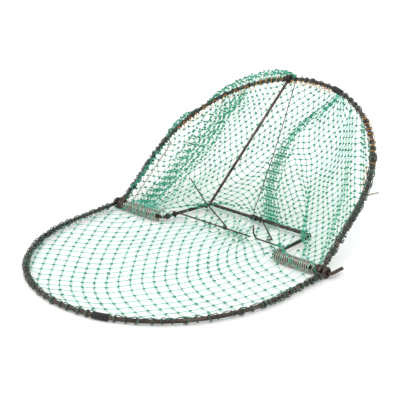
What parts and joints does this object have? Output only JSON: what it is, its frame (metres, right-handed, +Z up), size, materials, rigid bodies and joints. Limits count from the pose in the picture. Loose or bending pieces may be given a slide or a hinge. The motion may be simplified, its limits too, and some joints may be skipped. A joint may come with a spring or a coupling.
{
  "type": "folding bow net trap",
  "caption": "Set spring bow net trap: flat netted lower hoop, leaning upper hoop with a net bag, torsion springs on a cranked axle, latch rod and wire trigger.",
  "frame": {"origin": "ground under the middle of the set trap's box", "axes": "+Z up, X along the hinge axis, the lower hoop towards -Y, the upper hoop towards +Y"},
  "size_m": [0.3786, 0.4658, 0.1705],
  "materials": {
    "rod_steel": "dark oxidised drawn steel rod",
    "spring_steel": "dull grey spring wire",
    "trigger_wire": "dark thin wire",
    "wrap_wire": "black coated wire wound close",
    "net_twine": "knotted green twine",
    "lashing_twine": "dark green twine",
    "binding_cord": "nearly black green cord",
    "edge_twine": "orange twine"
  },
  "bodies": {
    "base": {"lower_hoop": "rod_steel", "lower_wrap": "wrap_wire", "lower_lashing": "lashing_twine", "lower_net": "net_twine", "net_middle": "net_twine", "crank_axle": "rod_steel", "left_spring": "spring_steel", "right_spring": "spring_steel", "left_binding": "binding_cord", "right_binding": "binding_cord", "bar_binding": "binding_cord"},
    "upper_bow": {"upper_hoop": "rod_steel", "upper_wrap": "wrap_wire", "upper_lashing": "lashing_twine", "upper_net": "net_twine", "seam_cord": "binding_cord", "edge_twine_left": "edge_twine", "edge_twine_right": "edge_twine", "left_spring_arm": "spring_steel", "right_spring_arm": "spring_steel"},
    "latch": {"latch_rod": "rod_steel"},
    "trigger": {"trigger_lever": "trigger_wire", "trip_arm": "trigger_wire", "trip_knot": "lashing_twine"},
    "bait": {"bait_arm": "trigger_wire", "bait_pin": "trigger_wire"},
    "hook": {"hook_wire": "trigger_wire"}
  },
  "joints": [
    {"name": "bow_hinge", "type": "hinge", "parent": "base", "child": "upper_bow", "pos_m": [0, 0.02883, 0.00735], "axis": [1, 0, 0], "range_deg": [0, 139.5], "deforming": ["upper_net", "seam_cord", "left_spring", "right_spring"]},
    {"name": "latch_pivot", "type": "hinge", "parent": "upper_bow", "child": "latch", "pos_m": [-0.0375, 0.22595, 0.16415], "axis": [-0.9761, -0.17, -0.1353], "range_deg": [0, 7]},
    {"name": "trigger_pivot", "type": "hinge", "parent": "base", "child": "trigger", "pos_m": [-0.07936, 0.09883, 0.00735], "axis": [0.1912, 0.9815, 0], "range_deg": [0, 3.4]},
    {"name": "bait_pivot", "type": "hinge", "parent": "base", "child": "bait", "pos_m": [0.097, 0.04783, 0.00735], "axis": [0, -1, 0], "range_deg": [0, 8]},
    {"name": "hook_pivot", "type": "hinge", "parent": "base", "child": "hook", "pos_m": [0.012, 0.10583, 0.00735], "axis": [-1, 0, 0], "range_deg": [0, 25]}
  ]
}
